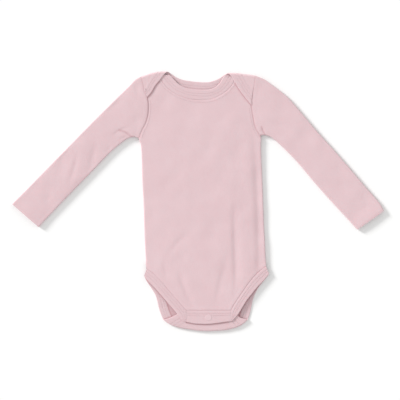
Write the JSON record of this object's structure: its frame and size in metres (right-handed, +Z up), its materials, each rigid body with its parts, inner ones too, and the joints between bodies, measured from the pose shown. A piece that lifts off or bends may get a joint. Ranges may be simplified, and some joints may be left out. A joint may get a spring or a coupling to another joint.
{
  "type": "baby onesie",
  "caption": "Long-sleeved baby bodysuit in pale pink rib knit with lapped shoulders and a snapped crotch, laid flat with its front up.",
  "frame": {"origin": "centre of the outline seen from above, on the surface the garment lies on", "axes": "+X across the body, towards the sleeve on the right as seen from above; +Y from the crotch towards the neck; +Z up from the surface, out of the front"},
  "size_m": [0.5589, 0.3892, 0.0078],
  "materials": {
    "rib_knit": "matte, fine vertical rib",
    "rib_band": "matte, folded rib knit",
    "snap_enamel": "satin"
  },
  "bodies": {
    "root": {"back_panel": "rib_knit", "front_panel": "rib_knit", "sleeve_left": "rib_knit", "sleeve_right": "rib_knit", "neckband_back": "rib_band", "neckband_front": "rib_band", "leg_binding_back_left": "rib_band", "leg_binding_back_right": "rib_band", "leg_binding_front_left": "rib_band", "leg_binding_front_right": "rib_band", "snap_placket": "rib_band", "snap_cap": "snap_enamel", "snap_socket": "snap_enamel"}
  },
  "joints": []
}
